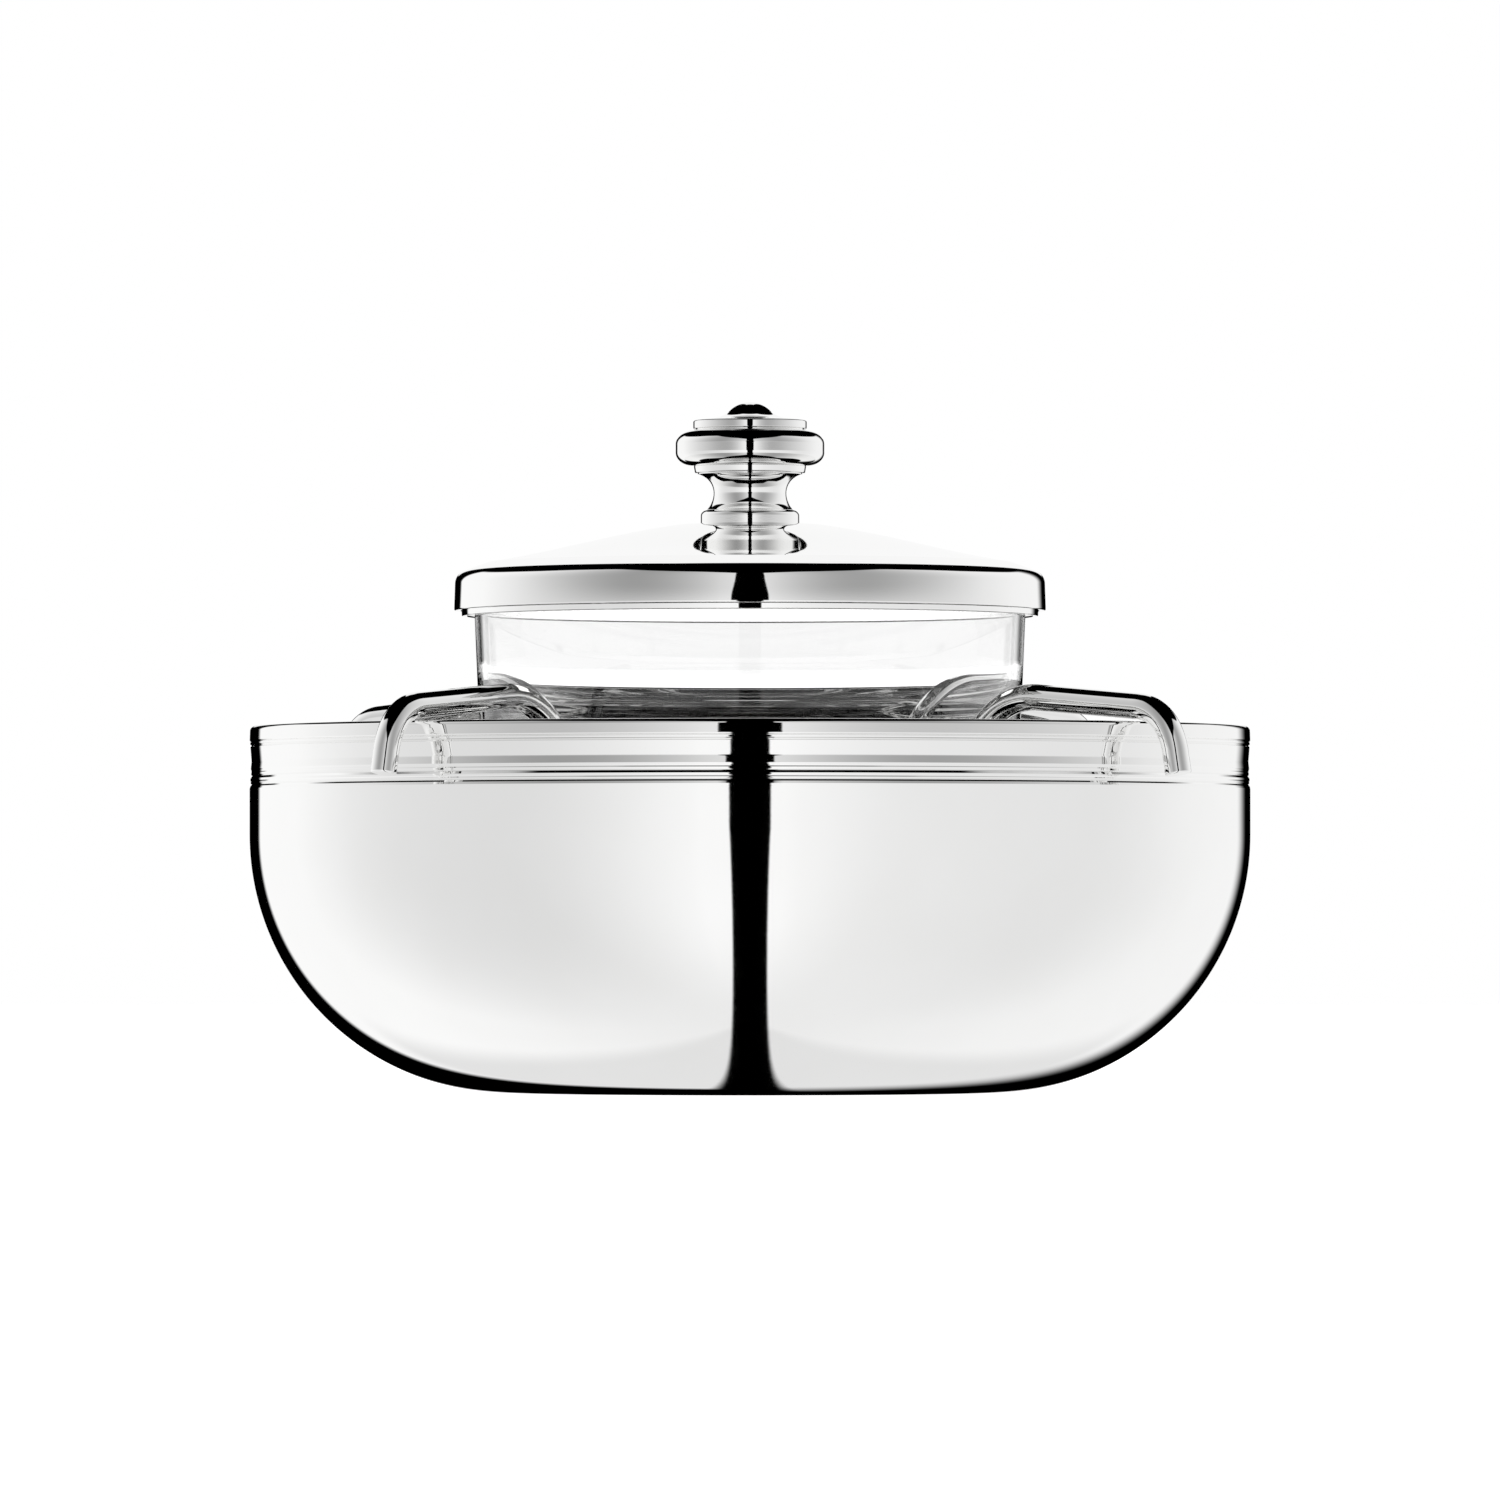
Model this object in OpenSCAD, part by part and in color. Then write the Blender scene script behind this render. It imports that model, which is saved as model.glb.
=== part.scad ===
// Iced serving bowl: a deep round metal bowl, a four-armed rod cradle hooked over its rim,
// a clear dish hanging in the cradle, and a domed metal lid with a turned knob.
// Millimetres, +Z up, origin at the centre of the bowl's underside.

/* [Bowl] */
// Outside diameter of the bowl
bowl_d = 190; // [180:1:200]
// Height of the bowl from its underside to the top of the rim
bowl_h = 69.5; // [68:0.5:72]
// Radius of the curve between the wall and the underside
bowl_corner_r = 49; // [44:1:52]
// Thickness of the bowl's wall
bowl_wall = 1.4; // [1.2:0.1:1.6]
// Radial width of the wire that finishes the rim
rim_wire_w = 2.8; // [2.6:0.1:3]

/* [Cradle] */
// Diameter of the rod the arms are bent from
rod_d = 4.9; // [4.7:0.1:5]
// Turn of the cradle about the bowl's axis, from the symmetrical position
cradle_turn = 4.6; // [0:0.1:8]
// Radius of the circle that the arms' inner legs stand on
leg_circle_r = 54.2; // [54.1:0.1:54.5]
// Height of the lower end of the inner legs
leg_foot_z = 52; // [51.5:0.1:52.5]
// Radius of the bend at the top of each inner leg
inner_bend_r = 15.05; // [15:0.05:15.2]
// Downward slope of the arm towards the rim, in degrees
arm_slope = 4.6; // [4.5:0.1:4.7]
// Length of the straight run between the two bends
arm_run = 24.2; // [24:0.1:24.5]
// Radius of the bend over the rim
hook_bend_r = 8.95; // [8.9:0.05:9.1]
// Angle of the bend over the rim, in degrees
hook_bend_a = 55.4; // [55:0.1:56]
// Radius of the easy curve outside the rim
hook_ease_r = 12.95; // [12.5:0.05:13.5]
// Angle of the easy curve outside the rim, in degrees
hook_ease_a = 19.6; // [19:0.1:20]
// Length of the straight end of the hook
hook_end = 3.8; // [3:0.1:4.5]
// Wire diameter of the ring the dish sits in
ring_d = 4.4; // [4.2:0.1:4.5]

/* [Dish] */
// Outside radius of the dish at its brim
dish_r = 52.6; // [52.4:0.1:52.7]
// Height of the dish's brim above the bowl's underside
dish_top_z = 97.8; // [97.6:0.1:97.9]
// Height of the dish's underside
dish_foot_z = 52; // [51.8:0.1:52.4]
// Wall thickness of the dish at its brim
dish_wall = 1.6; // [1.5:0.1:2.2]
// Outward lean of the dish's wall, in degrees
dish_lean = 2.4; // [2.2:0.1:2.5]
// Radius of the dish's outside bottom corner
dish_corner_r = 12; // [11.8:0.1:12.2]
// Height at which the dish's wall starts to curve in to its basin
dish_basin_z = 82.3; // [81.5:0.1:83]
// Radius of the slow curve that the basin starts with
dish_slow_r = 70; // [66:1:74]
// Radius of the tight curve that the basin ends with
dish_fast_r = 15; // [14:0.5:16]

/* [Lid] */
// Outside radius of the lid's band
lid_r = 56.2; // [56:0.05:56.3]
// Thickness of the lid's sheet
lid_wall = 1.2; // [1.1:0.1:1.2]
// Height of the band's lower edge
band_foot_z = 91.55; // [91.3:0.05:91.8]
// Height at which the band turns into the shoulder
band_top_z = 96.65; // [96.5:0.05:96.8]
// Radius of the lid's shoulder
shoulder_r = 2.6; // [2.5:0.1:2.7]
// Height of the crest that the dome's curve is drawn from
dome_crest_z = 108.85; // [108.7:0.05:109]
// Fall of the dome's curve over its whole half wave
dome_fall = 9.5; // [9.4:0.1:9.6]
// Length of the dome's half wave
dome_span = 66; // [65:0.5:67]
// Height of the flat seat for the knob
seat_z = 107.85; // [107.8:0.05:107.9]
// How far the locating ring reaches below the band
locator_drop = 1.05; // [0.8:0.05:1.2]

/* [Knob] */
// Largest radius of the knob
knob_r = 14.12; // [13.6:0.02:14.5]
// Height of the top of the knob
knob_top_z = 131.25; // [131:0.05:131.5]
// Radius of the knob's foot
knob_foot_r = 9.35; // [9.2:0.05:9.5]
// Diameter of the stud through the knob
stud_d = 3; // [3:0.1:3.4]

/* [Hidden] */
$fn = 96;

bowl_r = bowl_d / 2;
flat_r = bowl_r - bowl_corner_r;
// height of the step under the rim wire
wire_z = bowl_h - 2.9;

// points of an arc about c, from angle a0 to a1
function arc(c, r, a0, a1, n) =
    [for (i = [0 : n]) let (a = a0 + (a1 - a0) * i / n) [c[0] + r * cos(a), c[1] + r * sin(a)]];

// height of the lid's outer surface at radius r, before the shoulder
function dome_z(r) = dome_crest_z - dome_fall * (1 - cos(180 * r / dome_span)) / 2;

// ---- bowl ----

// outside of the bowl, from the middle of the underside up to the step under the rim wire
bowl_outside = concat(
    [[0, 0]],
    arc([flat_r, bowl_corner_r], bowl_corner_r, -90, 0, 20),
    [[bowl_r, bowl_h - 11.85],
     [bowl_r - 0.1, bowl_h - 11.45],
     [bowl_r - 0.42, bowl_h - 11],
     [bowl_r - 0.2, bowl_h - 10.85],
     [bowl_r - 0.2, bowl_h - 10.65],
     [bowl_r - 0.27, bowl_h - 10.5],
     [bowl_r - 0.15, bowl_h - 10.35],
     [bowl_r - 0.15, bowl_h - 9.95],
     [bowl_r - 0.5, bowl_h - 9.4],
     [bowl_r - 0.3, bowl_h - 9.25],
     [bowl_r - 0.3, bowl_h - 8.85],
     [bowl_r - 0.36, bowl_h - 8.7],
     [bowl_r - 0.22, bowl_h - 8.1],
     [bowl_r - 0.35, bowl_h - 7],
     [bowl_r - 0.35, bowl_h - 6.4],
     [bowl_r - 0.15, bowl_h - 3.95],
     [bowl_r - 0.42, bowl_h - 3.65],
     [bowl_r - 0.12, bowl_h - 3.45],
     [bowl_r - 0.12, bowl_h - 3.1],
     [bowl_r - 0.4, wire_z]]);
// inside of the bowl, from the step down to the middle of the floor
bowl_inside = concat(
    [[bowl_r - bowl_wall - 0.6, wire_z]],
    [[bowl_r - bowl_wall - 0.6, bowl_h - 12],
     [bowl_r - bowl_wall, bowl_h - 14]],
    arc([flat_r, bowl_corner_r], bowl_corner_r - bowl_wall, 0, -90, 20),
    [[0, bowl_wall]]);

module bowl_body() {
    color("silver")
        rotate_extrude()
            polygon(concat(bowl_outside, bowl_inside));
}

// round-shouldered wire, set on top of the wall
module rim_wire() {
    top_r = 1;
    color("silver")
        rotate_extrude()
            polygon(concat(
                [[bowl_r - rim_wire_w, wire_z], [bowl_r - 0.25, wire_z], [bowl_r, wire_z + 0.25]],
                arc([bowl_r - top_r, bowl_h - top_r], top_r, 0, 90, 6),
                arc([bowl_r - rim_wire_w + top_r, bowl_h - top_r], top_r, 90, 180, 6)));
}

// ---- cradle ----

// The arm lies in a plane through the axis, as [radius, height].
// It is worked out from the inner leg outwards.
bend1_c = [leg_circle_r + inner_bend_r, 59.2];
run_start = [bend1_c[0] + inner_bend_r * sin(arm_slope), bend1_c[1] + inner_bend_r * cos(arm_slope)];
run_end = [run_start[0] + arm_run * cos(arm_slope), run_start[1] - arm_run * sin(arm_slope)];
hook_c = [run_end[0] - hook_bend_r * sin(arm_slope), run_end[1] - hook_bend_r * cos(arm_slope)];
hook_a = arm_slope + hook_bend_a;
hook_bent = [hook_c[0] + hook_bend_r * sin(hook_a), hook_c[1] + hook_bend_r * cos(hook_a)];
ease_c = [hook_bent[0] - hook_ease_r * sin(hook_a), hook_bent[1] - hook_ease_r * cos(hook_a)];
end_a = hook_a + hook_ease_a;
ease_end = [ease_c[0] + hook_ease_r * sin(end_a), ease_c[1] + hook_ease_r * cos(end_a)];

// points of a bend about c, from a0 below level to a1 below level
function bend(c, r, a0, a1, n) =
    [for (i = [0 : n]) let (a = a0 + (a1 - a0) * i / n) [c[0] + r * sin(a), c[1] + r * cos(a), a]];
// centre line of the arm as [radius, height, angle below level], from the leg's foot to the hook's end
hook_dir = [cos(end_a), -sin(end_a)];
hook_bends = concat(
    bend(hook_c, hook_bend_r, arm_slope, hook_a, 9),
    [for (p = bend(ease_c, hook_ease_r, hook_a, end_a, 4)) if (p[2] > hook_a + 1) p]);
arm_line = concat(
    [[leg_circle_r, leg_foot_z, -90]],
    bend(bend1_c, inner_bend_r, -90, arm_slope, 12),
    hook_bends,
    [[ease_end[0] + hook_end * hook_dir[0], ease_end[1] + hook_end * hook_dir[1], end_a]]);

// one arm: inner leg, bend, sloping run, and the hook that goes over the rim
module cradle_arm(bearing) {
    sides = 24;
    chamfer = 0.4;
    last = arm_line[len(arm_line) - 1];
    tip = [last[0] + chamfer * hook_dir[0], last[1] + chamfer * hook_dir[1], end_a];
    line = concat(arm_line, [tip]);
    rings = len(line);
    points = [for (k = [0 : rings - 1], j = [0 : sides - 1])
        let (r = k == rings - 1 ? rod_d / 2 - chamfer : rod_d / 2,
             a = 360 * j / sides, p = line[k])
        [p[0] + r * cos(a) * sin(p[2]), r * sin(a), p[1] + r * cos(a) * cos(p[2])]];
    walls = [for (k = [0 : rings - 2], j = [0 : sides - 1])
        let (n = (j + 1) % sides)
        [k * sides + j, k * sides + n, (k + 1) * sides + n, (k + 1) * sides + j]];
    foot = [for (j = [sides - 1 : -1 : 0]) j];
    end = [for (j = [0 : sides - 1]) (rings - 1) * sides + j];
    color("silver")
        rotate([0, 0, bearing])
            polyhedron(points, concat([foot], walls, [end]));
}

module arm_front_right() { cradle_arm(-45 + cradle_turn); }
module arm_front_left() { cradle_arm(-135 + cradle_turn); }
module arm_rear_left() { cradle_arm(135 + cradle_turn); }
module arm_rear_right() { cradle_arm(45 + cradle_turn); }

// wire ring, brazed to the inner sides of the four legs, that holds the dish by its corner
ring_c_r = leg_circle_r - rod_d / 2 - ring_d / 2 + 0.3;
corner_c_r = dish_r - (dish_top_z - dish_foot_z - dish_corner_r) * tan(dish_lean) - dish_corner_r;
ring_reach = dish_corner_r + ring_d / 2 + 0.2;
ring_z = dish_foot_z + dish_corner_r - sqrt(pow(ring_reach, 2) - pow(ring_c_r - corner_c_r, 2));

module seat_ring() {
    color("silver")
        translate([0, 0, ring_z])
            rotate_extrude()
                translate([ring_c_r, 0])
                    circle(d = ring_d);
}

// ---- dish ----

// radius of the dish's outer wall at height z
function dish_out(z) = dish_r - (dish_top_z - z) * tan(dish_lean);
corner_z = dish_foot_z + dish_corner_r;
slow_end_a = 12.4;
basin_slow_c = [dish_out(dish_basin_z) - dish_wall / cos(dish_lean) - dish_slow_r * cos(dish_lean),
                dish_basin_z + dish_slow_r * sin(dish_lean)];
basin_fast_c = basin_slow_c + (dish_slow_r - dish_fast_r) * [cos(slow_end_a), -sin(slow_end_a)];

module glass_dish() {
    brim = dish_wall / 2;
    color("whitesmoke", 0.35)
        rotate_extrude()
            polygon(concat(
                [[0, dish_foot_z + 0.8], [24, dish_foot_z + 0.8], [25.5, dish_foot_z]],
                arc([corner_c_r, corner_z], dish_corner_r, -90, -dish_lean, 12),
                arc([dish_r - brim, dish_top_z - brim], brim, -dish_lean, 180 - dish_lean, 8),
                arc(basin_slow_c, dish_slow_r, -dish_lean, -slow_end_a, 6),
                arc(basin_fast_c, dish_fast_r, -slow_end_a - 7, -90, 10),
                [[0, basin_fast_c[1] - dish_fast_r]]));
}

// ---- lid ----

shoulder_c = [lid_r - shoulder_r, band_top_z];
stud_hole_r = stud_d / 2 + 0.1;

// spun dome with a flat seat for the knob and a rounded shoulder
module lid_dome() {
    seat_r = dome_span * acos(1 - 2 * (dome_crest_z - seat_z) / dome_fall) / 180;
    steps = [for (i = [0 : 14]) seat_r + (50 - seat_r) * i / 14];
    color("silver")
        rotate_extrude()
            polygon(concat(
                [[stud_hole_r, seat_z]],
                [for (r = steps) [r, dome_z(r)]],
                arc(shoulder_c, shoulder_r, 66, 0, 6),
                arc(shoulder_c, shoulder_r - lid_wall, 0, 66, 5),
                [for (i = [14 : -1 : 0]) [steps[i] - 0.15, dome_z(steps[i]) - lid_wall]],
                [[stud_hole_r, seat_z - lid_wall]]));
}

module lid_band() {
    color("silver")
        translate([0, 0, band_foot_z])
            difference() {
                cylinder(r = lid_r, h = band_top_z - band_foot_z);
                translate([0, 0, -1])
                    cylinder(r = lid_r - lid_wall, h = band_top_z - band_foot_z + 2);
            }
}

// locating ring soldered inside the band, which slips over the dish's brim
module lid_locator() {
    outer = lid_r - lid_wall;
    foot = band_foot_z - locator_drop;
    color("silver")
        rotate_extrude()
            polygon([[outer - 1.25, foot + 0.3], [outer - 1, foot], [outer - 0.3, foot],
                     [outer, foot + 0.3], [outer, band_top_z - 0.2], [outer - 1.65, band_top_z - 0.2]]);
}

// ---- knob ----

foot_top_z = 110.75;
neck_top_z = 117.7;
collar_top_z = 119.05;
bun_top_z = 125.9;
stud_top_z = 128;
stud_bore_r = stud_d / 2 + 0.05;

// ring with a rounded upper edge, standing on the dome's seat
module knob_foot() {
    round_r = 1.2;
    color("silver")
        rotate_extrude()
            polygon(concat(
                [[stud_bore_r, seat_z], [knob_foot_r - 0.2, seat_z], [knob_foot_r, seat_z + 0.2]],
                arc([knob_foot_r - round_r, foot_top_z - round_r], round_r, 0, 90, 6),
                [[stud_bore_r, foot_top_z]]));
}

// neck with a deep hollow turned round it
module knob_neck() {
    waist_r = 6.9;
    waist_z = 113.9;
    low_r = 4.3;
    high_r = 3.65;
    low_a = asin((waist_z - foot_top_z) / low_r);
    color("silver")
        rotate_extrude()
            polygon(concat(
                [[stud_bore_r, foot_top_z]],
                arc([waist_r + low_r, waist_z], low_r, 180 + low_a, 180, 7),
                arc([waist_r + high_r, waist_z], high_r, 170, 100, 7),
                [[waist_r + high_r * (1 - cos(80)), neck_top_z], [stud_bore_r, neck_top_z]]));
}

module knob_collar() {
    foot_r = 10.45;
    top_r = 10.68;
    round_r = 0.3;
    color("silver")
        rotate_extrude()
            polygon(concat(
                [[stud_bore_r, neck_top_z]],
                arc([foot_r - round_r, neck_top_z + round_r], round_r, -90, 0, 3),
                [[top_r, collar_top_z - 0.05], [top_r - 0.05, collar_top_z], [stud_bore_r, collar_top_z]]));
}

// flattened ball that the fingers hold
module knob_bun() {
    corner_w = 3.6;
    core_r = knob_r - corner_w;
    side_low = 121.6;
    side_high = 123.2;
    color("silver")
        rotate_extrude()
            polygon(concat(
                [[stud_bore_r, collar_top_z]],
                [for (i = [0 : 9]) let (a = -90 + 10 * i)
                    [core_r + corner_w * cos(a), side_low + (side_low - collar_top_z) * sin(a)]],
                [for (i = [0 : 9]) let (a = 10 * i)
                    [core_r + corner_w * cos(a), side_high + (bun_top_z - side_high) * sin(a)]],
                [[stud_bore_r, bun_top_z]]));
}

// stepped disc that sweeps up to a domed cap and closes the top of the knob
module knob_button() {
    disc_r = 10.78;
    disc_top_z = 127.8;
    cap_r = 4.15;
    cap_z = 129.3;
    ball_r = (cap_r * cap_r + pow(knob_top_z - cap_z, 2)) / (2 * (knob_top_z - cap_z));
    cap_a = asin(cap_r / ball_r);
    color("silver")
        rotate_extrude()
            polygon(concat(
                [[stud_bore_r, bun_top_z], [disc_r - 0.5, bun_top_z], [disc_r - 0.5, bun_top_z + 0.15],
                 [disc_r, bun_top_z + 0.35], [disc_r, disc_top_z - 0.4], [disc_r - 0.1, disc_top_z - 0.2]],
                [for (i = [0 : 9]) let (t = i / 9)
                    [10.2 + (cap_r - 10.2) * t, disc_top_z + (cap_z - disc_top_z) * (0.35 * t + 0.65 * pow(t, 4))]],
                [for (i = [1 : 8]) let (a = 90 - cap_a + cap_a * i / 8)
                    [i == 8 ? 0 : ball_r * cos(a), knob_top_z - ball_r + ball_r * sin(a)]],
                [[0, stud_top_z + 0.1], [stud_bore_r, stud_top_z + 0.1]]));
}

module knob_stud() {
    color("silver")
        translate([0, 0, seat_z - lid_wall - 4.2])
            cylinder(d = stud_d, h = stud_top_z - (seat_z - lid_wall - 4.2));
}

module knob_washer() {
    color("silver")
        translate([0, 0, seat_z - lid_wall - 0.6])
            difference() {
                cylinder(r = 4.2, h = 0.6);
                translate([0, 0, -1])
                    cylinder(r = stud_hole_r, h = 3);
            }
}

// round-topped nut drawn up under the dome
module knob_nut() {
    color("silver")
        translate([0, 0, seat_z - lid_wall - 3.4])
            difference() {
                intersection() {
                    cylinder(d = 6.35, h = 2.8, $fn = 6);
                    cylinder(r1 = 2.6, r2 = 4.4, h = 2.8);
                }
                translate([0, 0, -1])
                    cylinder(r = stud_bore_r, h = 5);
            }
}

bowl_body();
rim_wire();
arm_front_right();
arm_front_left();
arm_rear_left();
arm_rear_right();
seat_ring();
glass_dish();
lid_dome();
lid_band();
lid_locator();
knob_foot();
knob_neck();
knob_collar();
knob_bun();
knob_button();
knob_stud();
knob_washer();
knob_nut();
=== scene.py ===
import math

import bpy
from mathutils import Matrix, Vector


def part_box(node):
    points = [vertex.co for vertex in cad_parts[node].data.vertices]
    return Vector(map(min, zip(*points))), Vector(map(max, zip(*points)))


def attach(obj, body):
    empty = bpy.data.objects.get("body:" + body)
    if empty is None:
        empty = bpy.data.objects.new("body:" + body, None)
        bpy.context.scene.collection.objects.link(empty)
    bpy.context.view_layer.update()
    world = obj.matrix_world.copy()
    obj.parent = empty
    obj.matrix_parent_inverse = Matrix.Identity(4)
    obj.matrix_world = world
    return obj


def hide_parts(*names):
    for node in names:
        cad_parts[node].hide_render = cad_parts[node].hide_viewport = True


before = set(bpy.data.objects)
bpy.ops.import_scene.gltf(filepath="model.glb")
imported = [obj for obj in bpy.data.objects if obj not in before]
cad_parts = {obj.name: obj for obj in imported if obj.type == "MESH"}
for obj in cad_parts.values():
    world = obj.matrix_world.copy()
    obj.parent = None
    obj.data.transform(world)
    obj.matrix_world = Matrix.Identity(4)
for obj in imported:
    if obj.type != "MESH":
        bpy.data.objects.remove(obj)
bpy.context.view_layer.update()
MM = 0.001


# ---------------------------------------------------------------- profiles
# A profile is a list of runs, and a run a list of (r, z, nr, nz) in millimetres,
# with the outside on the right of the direction of travel.

def line(p, q, n=1):
    dr, dz = q[0] - p[0], q[1] - p[1]
    d = math.hypot(dr, dz)
    return [(p[0] + dr * i / n, p[1] + dz * i / n, dz / d, -dr / d) for i in range(n + 1)]


def arc(c, r, a0, a1, n=0):
    n = n or max(3, int(abs(a1 - a0) / 6))
    side = 1 if a1 > a0 else -1
    out = []
    for i in range(n + 1):
        a = math.radians(a0 + (a1 - a0) * i / n)
        out.append((c[0] + r * math.cos(a), c[1] + r * math.sin(a), side * math.cos(a), side * math.sin(a)))
    return out


def curve(f, n):
    """f(t) gives (r, z) for t from 0 to 1"""
    out = []
    for i in range(n + 1):
        t, e = i / n, 1e-4
        a, b = f(max(0, t - e)), f(min(1, t + e))
        d = math.hypot(b[0] - a[0], b[1] - a[1])
        p = f(t)
        out.append((p[0], p[1], (b[1] - a[1]) / d, -(b[0] - a[0]) / d))
    return out


def rounded(points):
    """points are (r, z) or (r, z, radius of the corner there)"""
    runs, at = [], points[0][:2]
    for i in range(1, len(points)):
        p = points[i]
        if i < len(points) - 1 and len(p) > 2 and p[2] > 0:
            u = (Vector(points[i - 1][:2]) - Vector(p[:2])).normalized()
            v = (Vector(points[i + 1][:2]) - Vector(p[:2])).normalized()
            half = u.angle(v) / 2
            start = Vector(p[:2]) + u * p[2] / math.tan(half)
            end = Vector(p[:2]) + v * p[2] / math.tan(half)
            c = Vector(p[:2]) + (u + v).normalized() * p[2] / math.sin(half)
            a0 = math.degrees(math.atan2(start.y - c.y, start.x - c.x))
            a1 = math.degrees(math.atan2(end.y - c.y, end.x - c.x))
            turn = (a1 - a0 + 180) % 360 - 180
            if (start - Vector(at)).length > 1e-6:
                runs.append(line(at, start))
            runs.append(arc(c, p[2], a0, a0 + turn))
            at = (end.x, end.y)
        else:
            runs.append(line(at, p[:2]))
            at = p[:2]
    return runs


# ---------------------------------------------------------------- meshes

def make(name, verts, faces, normals, body, material, nodes):
    mesh = bpy.data.meshes.new(name)
    mesh.from_pydata(verts, [], faces)
    mesh.polygons.foreach_set("use_smooth", [True] * len(faces))
    mesh.normals_split_custom_set(normals)
    mesh.materials.append(material)
    obj = bpy.data.objects.new(name, mesh)
    bpy.context.scene.collection.objects.link(obj)
    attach(obj, body)
    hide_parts(*nodes)
    return obj


def lathe(name, runs, body, material, nodes, seg=192):
    """a surface of revolution whose normals are exact, so that reflections run smoothly"""
    verts, faces, normals, last = [], [], [], None
    ways = [(math.cos(2 * math.pi * j / seg), math.sin(2 * math.pi * j / seg)) for j in range(seg)]

    def ring(p):
        nonlocal last
        if last and abs(last[0] - p[0]) < 1e-6 and abs(last[1] - p[1]) < 1e-6:
            return last[2]
        first = len(verts)
        if p[0] < 1e-6:
            verts.append((0, 0, p[1] * MM))
            ids = [first] * seg
        else:
            verts.extend((p[0] * MM * c, p[0] * MM * s, p[1] * MM) for c, s in ways)
            ids = list(range(first, first + seg))
        last = (p[0], p[1], ids)
        return ids

    start = None
    closed = math.dist(runs[0][0][:2], runs[-1][-1][:2]) < 1e-6
    for k, run in enumerate(runs):
        a = ring(run[0])
        start = start or a
        for i in range(1, len(run)):
            b = start if closed and k == len(runs) - 1 and i == len(run) - 1 else ring(run[i])
            na, nb = run[i - 1], run[i]
            for j in range(seg):
                m = (j + 1) % seg
                loop = [(a[j], na, j), (a[m], na, m), (b[m], nb, m), (b[j], nb, j)]
                if a[j] == a[m]:
                    loop.pop(1)
                elif b[j] == b[m]:
                    loop.pop(2)
                faces.append([v for v, _, _ in loop])
                for _, n, w in loop:
                    normals.append((n[2] * ways[w][0], n[2] * ways[w][1], n[3]))
            a = b
    return make(name, verts, faces, normals, body, material, nodes)


def rod(name, line3, radius, bearing, body, material, nodes, sides=40, foot=0.3, tip=0.35):
    """a round rod along line3, a list of (r, z, angle below level), with its ends cut flat"""
    turn = Matrix.Rotation(math.radians(bearing), 4, "Z")
    rings = []   # centre, side, up, ahead, radius, share of the normal across and along

    def frame_at(p):
        a = math.radians(p[2])
        return Vector((p[0], 0, p[1])), Vector((math.sin(a), 0, math.cos(a))), Vector((math.cos(a), 0, -math.sin(a)))

    def cap(p, r, way):
        c, up, ahead = frame_at(p)
        out = []
        for i in range(6):
            a = math.radians(90 * i / 5)
            out.append((c + ahead * way * r * (math.sin(a) - 1), up, ahead, radius - r + r * math.cos(a),
                        math.cos(a), way * math.sin(a)))
        return out

    rings += cap(line3[0], foot, -1)[::-1]
    for p in line3[1:-1]:
        c, up, ahead = frame_at(p)
        rings.append((c, up, ahead, radius, 1, 0))
    rings += cap(line3[-1], tip, 1)
    verts, faces, normals = [], [], []
    around = []
    for c, up, ahead, r, across, along in rings:
        row = []
        for j in range(sides):
            a = 2 * math.pi * j / sides
            out = up * math.cos(a) + Vector((0, 1, 0)) * math.sin(a)
            verts.append(turn @ ((c + out * r) * MM))
            row.append(turn @ (out * across + ahead * along))
        around.append(row)
    for k in range(len(rings) - 1):
        for j in range(sides):
            m = (j + 1) % sides
            corners = ((k, j), (k + 1, j), (k + 1, m), (k, m))
            faces.append([kk * sides + jj for kk, jj in corners])
            normals += [around[kk][jj] for kk, jj in corners]
    last = len(rings) - 1
    ends = ((0, list(range(sides))), (last, [last * sides + j for j in range(sides - 1, -1, -1)]))
    for k, face in ends:
        faces.append(face)
        n = turn @ (rings[k][2] * (1 if k else -1))
        normals += [n] * sides
    return make(name, verts, faces, normals, body, material, nodes)


# ---------------------------------------------------------------- materials

def tree(name):
    m = bpy.data.materials.new(name)
    m.use_nodes = True
    nodes, links = m.node_tree.nodes, m.node_tree.links
    return m, nodes, links, nodes["Principled BSDF"]


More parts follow.
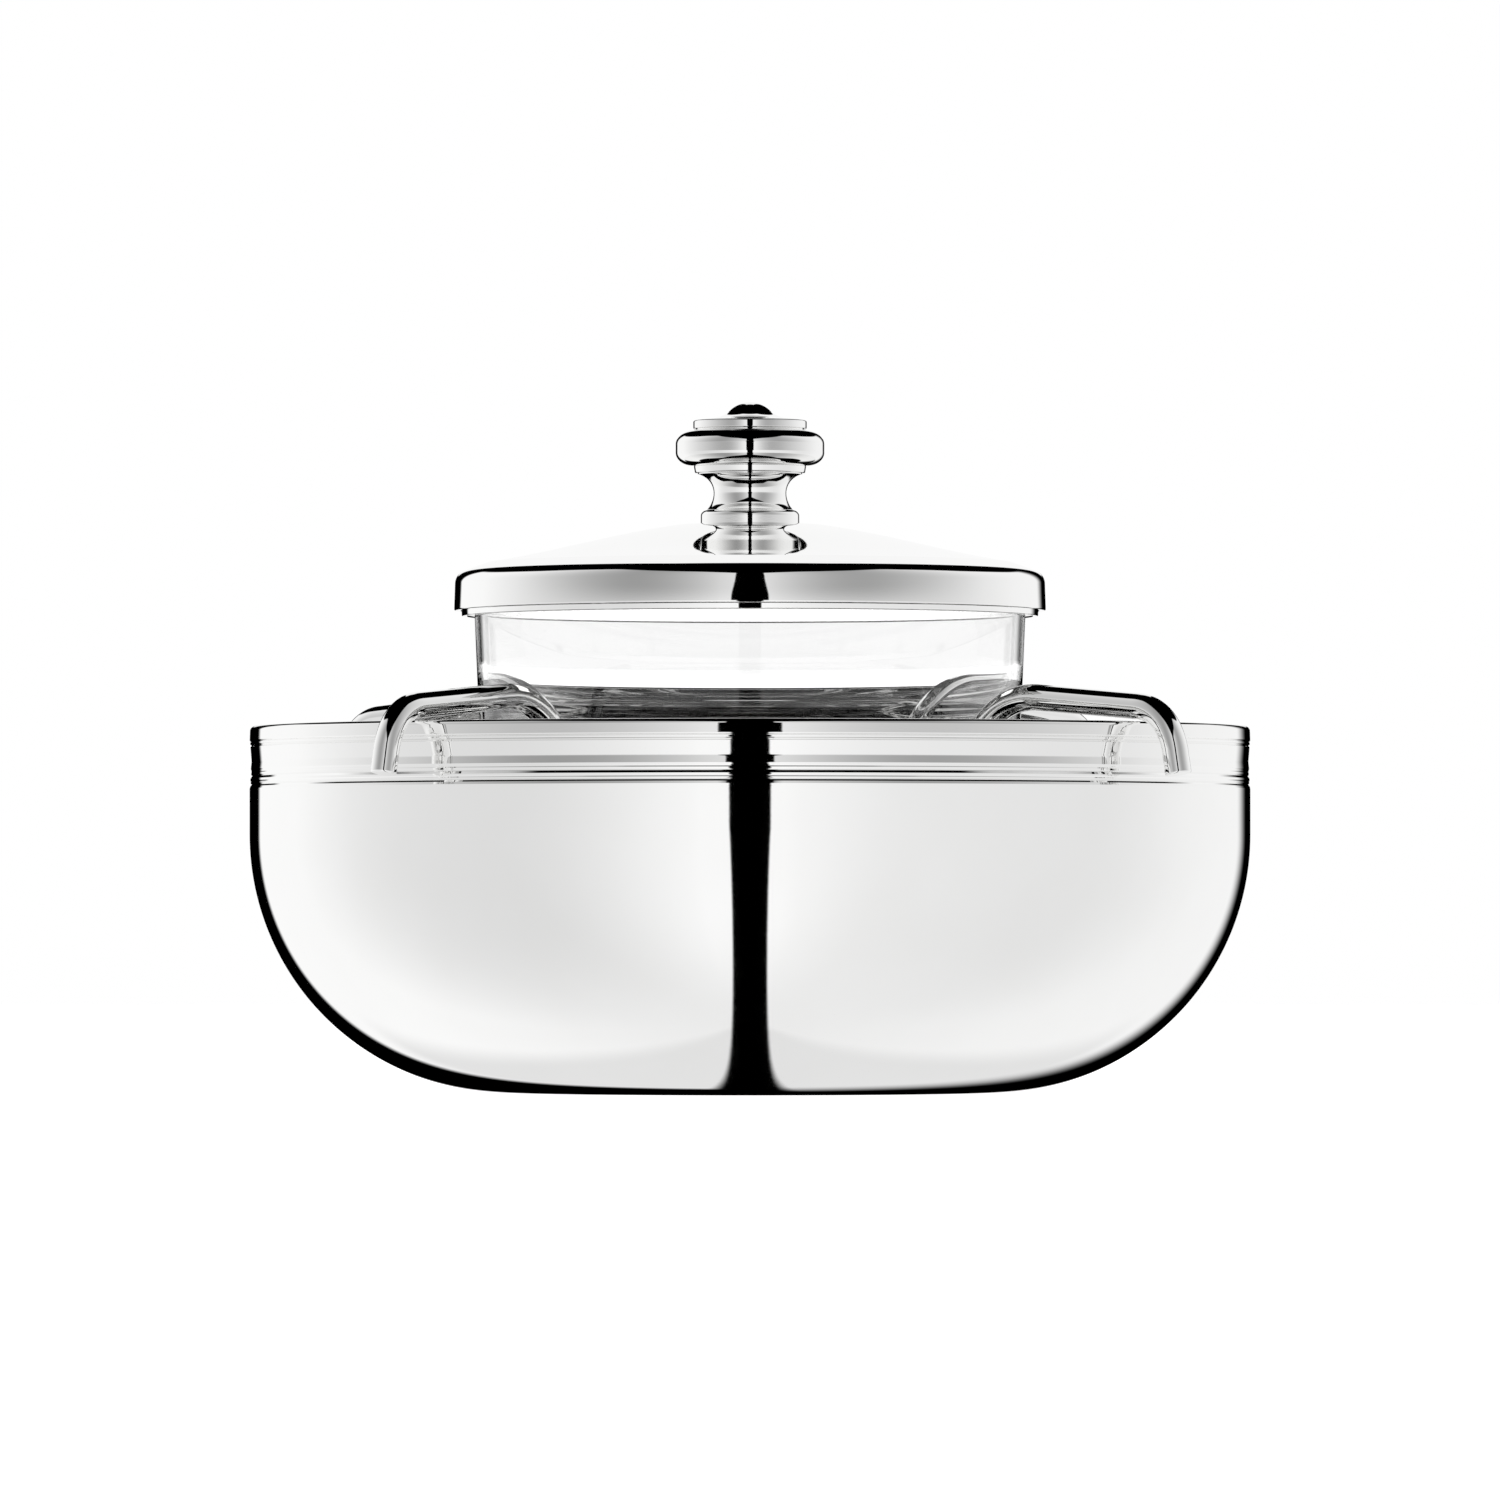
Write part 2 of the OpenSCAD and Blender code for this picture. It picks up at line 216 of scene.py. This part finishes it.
def silver(name, tone, rough, wave, grain):
    """polished silver: a slow hand-finished wave, fine polishing marks and a little tarnish in the tone"""
    m, nodes, links, bsdf = tree(name)
    bsdf.inputs["Metallic"].default_value = 1
    co = nodes.new("ShaderNodeTexCoord")

    def noise(scale, detail, stretch=(1, 1, 1)):
        mp = nodes.new("ShaderNodeMapping")
        mp.inputs["Scale"].default_value = stretch
        links.new(co.outputs["Object"], mp.inputs["Vector"])
        n = nodes.new("ShaderNodeTexNoise")
        n.inputs["Scale"].default_value = scale
        n.inputs["Detail"].default_value = detail
        links.new(mp.outputs["Vector"], n.inputs["Vector"])
        return n.outputs["Fac"]

    def spread(value, low, high):
        r = nodes.new("ShaderNodeMapRange")
        r.inputs["From Min"].default_value = 0.3
        r.inputs["From Max"].default_value = 0.7
        r.inputs["To Min"].default_value = low
        r.inputs["To Max"].default_value = high
        links.new(value, r.inputs["Value"])
        return r.outputs["Result"]

    slow = noise(22, 1)
    marks = noise(900, 4, (1, 1, 6))
    tint = nodes.new("ShaderNodeMix")
    tint.data_type = "RGBA"
    links.new(spread(noise(60, 3), 0, 1), tint.inputs["Factor"])
    tint.inputs["A"].default_value = (tone, tone, tone * 0.996, 1)
    tint.inputs["B"].default_value = (tone * 0.985, tone * 0.984, tone * 0.978, 1)
    links.new(tint.outputs["Result"], bsdf.inputs["Base Color"])
    links.new(spread(marks, rough * 0.7, rough * 1.5), bsdf.inputs["Roughness"])
    first = nodes.new("ShaderNodeBump")
    first.inputs["Strength"].default_value = 1
    first.inputs["Distance"].default_value = wave
    links.new(slow, first.inputs["Height"])
    second = nodes.new("ShaderNodeBump")
    second.inputs["Strength"].default_value = 1
    second.inputs["Distance"].default_value = grain
    links.new(marks, second.inputs["Height"])
    links.new(first.outputs["Normal"], second.inputs["Normal"])
    links.new(second.outputs["Normal"], bsdf.inputs["Normal"])
    return m


def steel(name):
    m, nodes, links, bsdf = tree(name)
    bsdf.inputs["Metallic"].default_value = 1
    co = nodes.new("ShaderNodeTexCoord")
    mp = nodes.new("ShaderNodeMapping")
    mp.inputs["Scale"].default_value = (1, 1, 8)
    n = nodes.new("ShaderNodeTexNoise")
    n.inputs["Scale"].default_value = 700
    n.inputs["Detail"].default_value = 4
    links.new(co.outputs["Object"], mp.inputs["Vector"])
    links.new(mp.outputs["Vector"], n.inputs["Vector"])
    ramp = nodes.new("ShaderNodeValToRGB")
    ramp.color_ramp.elements[0].color = (0.48, 0.48, 0.49, 1)
    ramp.color_ramp.elements[1].color = (0.66, 0.66, 0.67, 1)
    links.new(n.outputs["Fac"], ramp.inputs["Fac"])
    links.new(ramp.outputs["Color"], bsdf.inputs["Base Color"])
    r = nodes.new("ShaderNodeMapRange")
    r.inputs["To Min"].default_value = 0.22
    r.inputs["To Max"].default_value = 0.42
    links.new(n.outputs["Fac"], r.inputs["Value"])
    links.new(r.outputs["Result"], bsdf.inputs["Roughness"])
    b = nodes.new("ShaderNodeBump")
    b.inputs["Distance"].default_value = 0.00002
    links.new(n.outputs["Fac"], b.inputs["Height"])
    links.new(b.outputs["Normal"], bsdf.inputs["Normal"])
    return m


def glass(name):
    """clear pressed glass with the slow ripple of a polished mould"""
    m, nodes, links, bsdf = tree(name)
    bsdf.inputs["Base Color"].default_value = (1, 1, 1, 1)
    bsdf.inputs["Transmission Weight"].default_value = 1
    bsdf.inputs["IOR"].default_value = 1.5
    co = nodes.new("ShaderNodeTexCoord")
    n = nodes.new("ShaderNodeTexNoise")
    n.inputs["Scale"].default_value = 38
    n.inputs["Detail"].default_value = 1
    links.new(co.outputs["Object"], n.inputs["Vector"])
    r = nodes.new("ShaderNodeMapRange")
    r.inputs["To Min"].default_value = 0
    r.inputs["To Max"].default_value = 0.012
    links.new(n.outputs["Fac"], r.inputs["Value"])
    links.new(r.outputs["Result"], bsdf.inputs["Roughness"])
    b = nodes.new("ShaderNodeBump")
    b.inputs["Distance"].default_value = 0.00003
    links.new(n.outputs["Fac"], b.inputs["Height"])
    links.new(b.outputs["Normal"], bsdf.inputs["Normal"])
    return m


BOWL = silver("bowl_silver", 0.95, 0.022, 0.000010, 0.0000006)
ROD = silver("rod_silver", 0.93, 0.02, 0.000006, 0.0000003)
LID = silver("lid_silver", 0.95, 0.024, 0.000008, 0.0000006)
KNOB = silver("knob_silver", 0.94, 0.02, 0.000003, 0.0000004)
STEEL = steel("fastener_steel")
GLASS = glass("dish_glass")


# ---------------------------------------------------------------- the bowl
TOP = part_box("rim_wire")[1][2] / MM
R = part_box("bowl_body")[1][0] / MM
WIRE = TOP - 2.9    # underside of the wire
CORNER = 49.0       # radius from the wall to the base
WALL = 1.4

shell = []
shell.append(line((0, 0), (R - CORNER, 0), 6))
shell.append(arc((R - CORNER, CORNER), CORNER, -90, 0, 60))
shell.append(line((R, CORNER), (R, TOP - 12.3), 4))
shell += rounded([
    (R, TOP - 12.3), (R, TOP - 11.85, 0.3), (R - 0.1, TOP - 11.45, 0.06), (R - 0.42, TOP - 11.0, 0.06),
    (R - 0.2, TOP - 10.85, 0.06), (R - 0.2, TOP - 10.65, 0.06), (R - 0.27, TOP - 10.5, 0.06),
    (R - 0.15, TOP - 10.35, 0.1), (R - 0.15, TOP - 9.95, 0.06), (R - 0.5, TOP - 9.4, 0.06),
    (R - 0.3, TOP - 9.25, 0.06), (R - 0.3, TOP - 8.85, 0.06), (R - 0.36, TOP - 8.7, 0.06),
    (R - 0.32, TOP - 8.4, 0.06), (R - 0.22, TOP - 8.1, 0.2), (R - 0.37, TOP - 6.7, 3.0),
    (R - 0.15, TOP - 3.95, 0.06), (R - 0.42, TOP - 3.65, 0.06), (R - 0.12, TOP - 3.45, 0.08),
    (R - 0.12, TOP - 3.1, 0.06), (R - 0.3, WIRE)])
shell.append(line((R - 0.3, WIRE), (R - WALL - 0.6, WIRE)))
shell += rounded([(R - WALL - 0.6, WIRE), (R - WALL - 0.6, TOP - 12, 1), (R - WALL, TOP - 14, 1), (R - WALL, CORNER)])
shell.append(arc((R - CORNER, CORNER), CORNER - WALL, 0, -90, 50))
shell.append(line((R - CORNER, WALL), (0, WALL), 6))
lathe("bowl_shell", shell, "bowl", BOWL, ["bowl_body"], 288)

WIRE_W = 2.8
wire = rounded([
    (R - 1.5, WIRE), (R, WIRE, 0.3), (R - 0.1, TOP, 0.9), (R - WIRE_W, TOP, 0.9), (R - WIRE_W, WIRE, 0.4),
    (R - 1.5, WIRE)])
lathe("bowl_rim_wire", wire, "bowl", BOWL, ["rim_wire"], 288)

# ---------------------------------------------------------------- the cradle
LEG_R = 54.2
ROD_R = 2.45
SLOPE = 4.6    # fall of the run towards the rim, in degrees
BEND, BEND_Z = 15.05, 59.2
RUN = 24.2
HOOK_R, HOOK_A = 8.95, 55.4
EASE_R, EASE_A = 12.95, 19.6
END = 4.2      # straight end of the hook


def bend(c, r, a0, a1, n):
    return [(c[0] + r * math.sin(math.radians(a)), c[1] + r * math.cos(math.radians(a)), a)
            for a in (a0 + (a1 - a0) * i / n for i in range(n + 1))]


foot_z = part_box("arm_front_left")[0][2] / MM
c1 = (LEG_R + BEND, BEND_Z)
inner = bend(c1, BEND, -90, SLOPE, 30)
sin_a, cos_a = math.sin(math.radians(SLOPE)), math.cos(math.radians(SLOPE))
run_end = (inner[-1][0] + RUN * cos_a, inner[-1][1] - RUN * sin_a)
c2 = (run_end[0] - HOOK_R * sin_a, run_end[1] - HOOK_R * cos_a)
hook = bend(c2, HOOK_R, SLOPE, SLOPE + HOOK_A, 20)
a = math.radians(SLOPE + HOOK_A)
c3 = (hook[-1][0] - EASE_R * math.sin(a), hook[-1][1] - EASE_R * math.cos(a))
ease = bend(c3, EASE_R, SLOPE + HOOK_A, SLOPE + HOOK_A + EASE_A, 10)
a = math.radians(ease[-1][2])
tip = (ease[-1][0] + END * math.cos(a), ease[-1][1] - END * math.sin(a), ease[-1][2])
arm_line = [(LEG_R, foot_z, -90)] + inner + hook + ease[1:] + [tip]

TURN = 4.6     # turn of the whole cradle about the axis, in degrees
BEARINGS = {"arm_front_right": -45, "arm_front_left": -135, "arm_rear_left": 135, "arm_rear_right": 45}
for node, bearing in BEARINGS.items():
    rod(node.replace("arm", "hooked_arm"), arm_line, ROD_R, bearing + TURN, "cradle", ROD, [node])

low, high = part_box("seat_ring")
ring_r = (high[2] - low[2]) / 2 / MM
ring_z = (high[2] + low[2]) / 2 / MM
ring = arc((high[0] / MM - ring_r, ring_z), ring_r, -90, 270, 32)
lathe("dish_seat_ring", [ring], "cradle", ROD, ["seat_ring"], 160)

# ---------------------------------------------------------------- the dish
low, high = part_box("glass_dish")
foot, brim = low[2] / MM, high[2] / MM
brim_r = high[0] / MM
LEAN = 2.4          # lean of the wall, in degrees
DISH_WALL = 1.6
C_OUT = 12.0        # outer radius from the wall to the underside
BASIN_Z = 82.3      # where the inside starts to curve in
SLOW, SLOW_END = 70.0, 12.4    # radius of the basin's first arc, and the lean it ends at
FAST = 15.0         # radius of the basin's second arc
lean = math.radians(LEAN)


def out_r(z):
    return brim_r - (brim - z) * math.tan(lean)


c_out = (out_r(foot + C_OUT) - C_OUT, foot + C_OUT)
half = DISH_WALL / 2
c_top = (brim_r - half, brim - half)
c_slow = (out_r(BASIN_Z) - DISH_WALL / math.cos(lean) - SLOW * math.cos(lean), BASIN_Z + SLOW * math.sin(lean))
end = math.radians(SLOW_END)
c_fast = (c_slow[0] + (SLOW - FAST) * math.cos(end), c_slow[1] - (SLOW - FAST) * math.sin(end))
dish = rounded([(0, foot + 0.8), (24, foot + 0.8, 0.5), (25.6, foot, 0.5), (c_out[0], foot)])
dish.append(arc(c_out, C_OUT, -90, -LEAN, 30))
dish.append(line(dish[-1][-1][:2], (c_top[0] + half * math.cos(lean), c_top[1] - half * math.sin(lean)), 6))
dish.append(arc(c_top, half, -LEAN, 180 - LEAN, 14))
basin = arc(c_slow, SLOW, -LEAN, -SLOW_END, 24)
dish.append(line(dish[-1][-1][:2], basin[0][:2], 4))
dish += [basin, arc(c_fast, FAST, -SLOW_END, -90, 40)]
dish.append(line(dish[-1][-1][:2], (0, dish[-1][-1][1]), 4))
lathe("clear_dish", dish, "dish", GLASS, ["glass_dish"], 256)

# ---------------------------------------------------------------- the lid
CREST, FALL, SPAN = 108.85, 9.5, 66.0
LID_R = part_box("lid_band")[1][0] / MM
BAND_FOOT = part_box("lid_band")[0][2] / MM
BAND_TOP = 96.65
BAND_IN = 0.15                 # how far the band leans in at its top
SHOULDER, TURN_END = 2.6, 68   # radius of the shoulder, and the angle it meets the dome at
BARREL_FOOT, BARREL = 1.6, 4.2     # lean of the band's face at its foot and at its top, in degrees
SHEET = 1.2
FOOT_R = 9.35
SEAT, SEAT_R = 107.85, 13.8    # flat the knob stands on
EDGE_R = 50                    # where the dome meets the shoulder
BORE_R = 1.6                   # hole for the stud


def dome(r):
    return CREST - FALL * (1 - math.cos(math.pi * r / SPAN)) / 2


def on_shoulder(r):
    a = math.radians(TURN_END)
    return shoulder[0] + r * math.cos(a), shoulder[1] + r * math.sin(a)


def leaning(points, foot_lean, top_lean):
    """gives the points normals that turn evenly from one lean to the other"""
    n = len(points) - 1
    leans = [math.radians(foot_lean + (top_lean - foot_lean) * i / n) for i in range(n + 1)]
    return [(p[0], p[1], math.cos(a), math.sin(a)) for p, a in zip(points, leans)]


shoulder = (LID_R - BAND_IN - SHOULDER, BAND_TOP)
lip_z = BAND_FOOT + 0.5
lid = rounded([(LID_R - 1.0, BAND_FOOT), (LID_R, BAND_FOOT, 0.3), (LID_R, lip_z)])
lid[-1] = [lid[-1][0], (LID_R, lip_z, 1, 0)]
lid.append(leaning(line((LID_R, lip_z), (LID_R - BAND_IN, BAND_TOP), 8), BARREL_FOOT, BARREL))
lid.append(leaning(arc(shoulder, SHOULDER, 0, TURN_END, 16), BARREL, TURN_END))
lid.append(line(on_shoulder(SHOULDER), (EDGE_R, dome(EDGE_R))))
lid.append(curve(lambda t: (EDGE_R + (SEAT_R - EDGE_R) * t, dome(EDGE_R + (SEAT_R - EDGE_R) * t)), 60))
lid.append(line(lid[-1][-1][:2], (FOOT_R - 0.5, SEAT)))
lid.append(line(lid[-1][-1][:2], (BORE_R, SEAT - 0.02)))
lid.append(line((BORE_R, SEAT - 0.02), (BORE_R, SEAT - SHEET)))
under = EDGE_R - 0.2 - BORE_R
lid.append(curve(lambda t: (BORE_R + under * t, min(SEAT, dome(BORE_R + under * t)) - SHEET), 50))
lid.append(line(lid[-1][-1][:2], on_shoulder(SHOULDER - SHEET)))
lid.append(arc(shoulder, SHOULDER - SHEET, TURN_END, 0, 8))
lid.append(line(lid[-1][-1][:2], (LID_R - SHEET, BAND_FOOT + 0.1)))
lid.append(line((LID_R - SHEET, BAND_FOOT + 0.1), (LID_R - 1.0, BAND_FOOT)))
lathe("lid_cover", lid, "lid", LID, ["lid_dome", "lid_band"], 256)

low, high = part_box("lid_locator")
loc_foot, loc_top, loc_r = low[2] / MM, high[2] / MM, high[0] / MM
loc = rounded([
    (loc_r - 0.7, loc_foot), (loc_r - 0.25, loc_foot, 0.2), (loc_r, loc_top), (loc_r - 1.65, loc_top),
    (loc_r - 1.25, loc_foot, 0.3), (loc_r - 0.7, loc_foot)])
lathe("lid_locating_ring", loc, "lid", LID, ["lid_locator"], 256)

# ---------------------------------------------------------------- the knob
# heights of the tops of its steps: foot, neck, collar, bun and disc
FOOT_T, NECK, COLLAR_T, BUN_T, DISC_T = 110.75, 117.7, 119.05, 125.9, 127.8
BORE = 1.55
foot_ring = rounded([
    (BORE, SEAT), (FOOT_R, SEAT, 0.25), (FOOT_R, FOOT_T, 1.2), (BORE, FOOT_T), (BORE, SEAT)])
lathe("knob_foot_ring", foot_ring, "lid", KNOB, ["knob_foot"])

WAIST, WAIST_Z = 6.9, 113.9
LOW_R, HIGH_R = 4.3, 3.65     # radii of the hollow below and above the waist
low_a = math.degrees(math.asin((WAIST_Z - FOOT_T) / LOW_R))
neck = [line((BORE, FOOT_T), (WAIST + LOW_R * (1 - math.cos(math.radians(low_a))), FOOT_T))]
neck.append(arc((WAIST + LOW_R, WAIST_Z), LOW_R, 180 + low_a, 180, 16))
neck.append(arc((WAIST + HIGH_R, WAIST_Z), HIGH_R, 180, 100, 24))
neck += rounded([neck[-1][-1][:2], (neck[-1][-1][0], NECK), (BORE, NECK), (BORE, FOOT_T)])
lathe("knob_neck_turning", neck, "lid", KNOB, ["knob_neck"])

collar = rounded([
    (BORE, NECK), (10.45, NECK, 0.35), (10.68, COLLAR_T, 0.1), (BORE, COLLAR_T), (BORE, NECK)])
lathe("knob_collar_ring", collar, "lid", KNOB, ["knob_collar"])

BUN_R, BULGE = 14.12, 3.6       # radius of the bun, and how much of it is curved
SIDE_LOW, SIDE_HIGH = 121.6, 123.2
CORE = BUN_R - BULGE


def quarter(z, b, a0, a1):
    """a quarter of an ellipse that stands b high"""
    return curve(lambda t: (CORE + BULGE * math.cos(math.radians(a0 + (a1 - a0) * t)),
                            z + b * math.sin(math.radians(a0 + (a1 - a0) * t))), 28)


bun = [line((BORE, COLLAR_T), (CORE, COLLAR_T)), quarter(SIDE_LOW, SIDE_LOW - COLLAR_T, -90, 0),
       line((BUN_R, SIDE_LOW), (BUN_R, SIDE_HIGH), 2), quarter(SIDE_HIGH, BUN_T - SIDE_HIGH, 0, 90),
       line((CORE, BUN_T), (BORE, BUN_T)), line((BORE, BUN_T), (BORE, COLLAR_T))]
lathe("knob_bun_turning", bun, "lid", KNOB, ["knob_bun"])

DISC, DISC_FLAT, KNOB_T = 10.78, 10.2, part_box("knob_button")[1][2] / MM
CAP_R, CAP_Z = 4.15, 129.3
ball = (CAP_R ** 2 + (KNOB_T - CAP_Z) ** 2) / (2 * (KNOB_T - CAP_Z))
edge = math.degrees(math.asin(CAP_R / ball))
button = rounded([
    (BORE, BUN_T), (DISC - 0.5, BUN_T), (DISC - 0.5, BUN_T + 0.15), (DISC, BUN_T + 0.3, 0.2),
    (DISC, DISC_T - 0.1, 0.35), (DISC_FLAT, DISC_T)])
button.append(curve(lambda t: (DISC_FLAT + (CAP_R - DISC_FLAT) * t,
                               DISC_T + (CAP_Z - DISC_T) * (0.35 * t + 0.65 * t ** 4)), 24))
button.append(arc((0, KNOB_T - ball), ball, 90 - edge, 90, 20))
lathe("knob_top_button", button, "lid", KNOB, ["knob_button"])

for node in ("knob_stud", "knob_washer", "knob_nut"):
    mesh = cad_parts[node].data
    if not mesh.materials:
        mesh.materials.append(STEEL)
    for i in range(len(mesh.materials)):
        mesh.materials[i] = STEEL

# ---------------------------------------------------------------- the floor
fm, _, _, fb = tree("pale_floor")
fb.inputs["Base Color"].default_value = (0.9, 0.9, 0.9, 1)
fb.inputs["Roughness"].default_value = 1
fb.inputs["Specular IOR Level"].default_value = 0
fb.inputs["Emission Color"].default_value = (1, 1, 1, 1)
fb.inputs["Emission Strength"].default_value = 0.7
FLOOR_R = 3.6
verts = [(FLOOR_R * math.cos(math.pi * i / 32), FLOOR_R * math.sin(math.pi * i / 32), 0) for i in range(64)]
fmesh = bpy.data.meshes.new("floor")
fmesh.from_pydata(verts, [], [list(range(64))])
fmesh.materials.append(fm)
floor = bpy.data.objects.new("floor", fmesh)
floor.location = (0, 0, -0.00005)
floor.visible_glossy = False
bpy.context.scene.collection.objects.link(floor)

# soft light from above that lights the floor and isn't mirrored in the metal
ld = bpy.data.lights.new("softbox", "AREA")
ld.shape = "DISK"
ld.size = 2.4
ld.energy = 60
lamp = bpy.data.objects.new("softbox", ld)
lamp.location = (0, -0.2, 2.6)
lamp.visible_glossy = False
lamp.visible_transmission = False
bpy.context.scene.collection.objects.link(lamp)

# ---------------------------------------------------------------- the studio
# Two long white panels with a gap at the front, a narrow white screen behind, dark above.
world = bpy.data.worlds.new("studio")
bpy.context.scene.world = world
world.use_nodes = True
wn, wl = world.node_tree.nodes, world.node_tree.links
wn.clear()


def put(value, socket):
    if isinstance(value, (int, float)):
        socket.default_value = value
    else:
        wl.new(value, socket)


def op(kind, a, b=0.0, c=0.0):
    n = wn.new("ShaderNodeMath")
    n.operation = kind
    put(a, n.inputs[0])
    put(b, n.inputs[1])
    put(c, n.inputs[2])
    return n.outputs[0]


def step(value, low, high, start=0.0, end=1.0):
    """start below low, end above high, and smooth between"""
    n = wn.new("ShaderNodeMapRange")
    n.interpolation_type = "SMOOTHSTEP"
    put(value, n.inputs["Value"])
    put(low, n.inputs["From Min"])
    put(high, n.inputs["From Max"])
    put(start, n.inputs["To Min"])
    put(end, n.inputs["To Max"])
    return n.outputs["Result"]


co = wn.new("ShaderNodeTexCoord")
sep = wn.new("ShaderNodeSeparateXYZ")
wl.new(co.outputs["Generated"], sep.inputs[0])
X, Y, Z = sep.outputs
side = op("ABSOLUTE", X)
front = op("MULTIPLY", Y, -1.0)
azimuth = op("MULTIPLY", op("ARCTAN2", side, front), 180 / math.pi)
height = op("MULTIPLY", op("ARCSINE", Z), 180 / math.pi)
pitch = op("MULTIPLY", op("ABSOLUTE", op("ARCTAN2", Z, front)), 180 / math.pi)


def stops(value, points):
    """grey ramp over an angle from 0 to 180 degrees"""
    n = wn.new("ShaderNodeValToRGB")
    ramp = n.color_ramp
    ramp.interpolation = "B_SPLINE"
    while len(ramp.elements) < len(points):
        ramp.elements.new(1)
    for e, (at, grey) in zip(ramp.elements, points):
        e.position = at / 180
        e.color = (grey, grey, grey, 1)
    wl.new(op("DIVIDE", value, 180.0), n.inputs[0])
    return n.outputs[0]


def mix(a, b, t):
    return op("ADD", op("MULTIPLY", a, op("SUBTRACT", 1.0, t)), op("MULTIPLY", b, t))


right = step(X, -0.02, 0.02)
# panels: bright beside the gap, greyer at the sides, bright again towards the back
panel_l = stops(azimuth, [(0, 1.06), (14, 1.0), (40, 0.78), (60, 0.75), (85, 0.78), (105, 0.86), (125, 1.0),
                          (150, 1.06)])
panel_r = stops(azimuth, [(0, 1.06), (12, 0.97), (30, 0.86), (60, 0.83), (85, 0.80), (105, 0.86), (125, 0.95),
                          (150, 0.95)])
tone = mix(panel_l, panel_r, right)
# the panels' upper part is greyer towards the front corners
shade = stops(azimuth, [(0, 0.25), (20, 0.7), (42, 1.0), (62, 0.75), (82, 0.38), (105, 0.0)])
tone = op("MULTIPLY", tone, op("SUBTRACT", 1.0, op("MULTIPLY", op("MULTIPLY", shade, step(height, 0.5, 8)), 0.62)))
# and dimmer still where the knob mirrors them
dim = stops(azimuth, [(0, 0.0), (9, 0.1), (20, 0.55), (35, 1.0), (60, 0.5), (85, 0.1), (105, 0.0)])
knob_level = op("MULTIPLY", step(height, 1.5, 2.3), step(height, 3.0, 4.5, 1.0, 0.0))
tone = op("MULTIPLY", tone, op("SUBTRACT", 1.0, op("MULTIPLY", op("MULTIPLY", dim, knob_level), 0.55)))
# even light from the table below
tone = mix(tone, 0.88, step(height, -88, -35, 1.0, 0.0))
# dark above; the panels stand highest at the sides and lower towards the front and the back
top = stops(azimuth, [(0, 0.27), (10, 0.35), (22, 0.43), (42, 0.49), (70, 0.62), (86, 0.6), (112, 0.45), (155, 0.22)])
top = op("MULTIPLY", top, 90.0)
tone = op("MULTIPLY", tone, step(op("SUBTRACT", height, top), -1.5, 1.5, 1.0, 0.0))
# dark behind on both sides, with a soft edge on the right, and pale table far below
behind = step(Y, 0.0, 0.1)
low_ground = mix(tone, 0.80, op("MULTIPLY", step(azimuth, 150, 165), step(height, -22, -28)))
tone = mix(tone, low_ground, behind)
zr = step(Z, -0.001, 0.001, 0.44, 20.0)
oval = op("ADD", op("POWER", op("DIVIDE", X, 0.42), 2.0), op("POWER", op("DIVIDE", Z, zr), 2.0))
lit = step(oval, step(X, -0.02, 0.02, 0.88, 0.55), step(X, -0.02, 0.02, 1.14, 1.35))
tone = op("MULTIPLY", tone, mix(1.0, lit, behind))
# gap between the panels, which runs on under the bowl
gap_w = op("SUBTRACT", step(Z, 0.0, 0.09, 0.080, 0.128), step(Z, 0.09, 0.18, 0.0, 0.028))
gap_w = op("SUBTRACT", gap_w, op("MULTIPLY", pitch, 0.061 / 144))
gap = step(op("SUBTRACT", side, gap_w), -0.004, 0.004)
tone = op("MULTIPLY", tone, mix(gap, 1.0, op("MULTIPLY", behind, step(Z, -0.02, 0.0))))
# white screen behind, tall and narrow; the clear dish has a wide one of its own
path = wn.new("ShaderNodeLightPath")
through = path.outputs["Is Transmission Ray"]
off = op("SUBTRACT", 180.0, azimuth)
half_w = mix(step(height, 3, 7, 2.5, 9.0), 12.5, through)
screen = op("MULTIPLY", step(op("SUBTRACT", off, half_w), -0.8, 0.8, 1.0, 0.0), step(height, -5.4, -4.6))
screen = op("MULTIPLY", screen, step(height, 46, 52, 0.97, 0.0))
tone = op("MAXIMUM", tone, screen)
tone = op("MAXIMUM", tone, path.outputs["Is Camera Ray"])
grey = wn.new("ShaderNodeCombineXYZ")
for i in range(3):
    wl.new(tone, grey.inputs[i])
bg = wn.new("ShaderNodeBackground")
wl.new(grey.outputs[0], bg.inputs["Color"])
bg.inputs["Strength"].default_value = 1
outw = wn.new("ShaderNodeOutputWorld")
wl.new(bg.outputs[0], outw.inputs["Surface"])

# ---------------------------------------------------------------- the camera
cam_data = bpy.data.cameras.new("camera")
cam_data.sensor_width = 36
cam_data.lens = 300
cam_data.clip_start = 0.05
cam_data.clip_end = 50
camera = bpy.data.objects.new("camera", cam_data)
camera.location = (0, -2.375, 0.02805)
aim = Vector((0, 0, 0.0651)) - camera.location
camera.rotation_euler = aim.to_track_quat("-Z", "Y").to_euler()
bpy.context.scene.collection.objects.link(camera)
bpy.context.scene.camera = camera

view = bpy.context.scene.view_settings
view.view_transform = "Standard"
view.look = "None"
view.exposure = 0
view.gamma = 1
cycles = bpy.context.scene.cycles
cycles.max_bounces = 16
cycles.glossy_bounces = 10
cycles.transmission_bounces = 14
cycles.transparent_max_bounces = 12
cycles.caustics_reflective = True
cycles.caustics_refractive = True
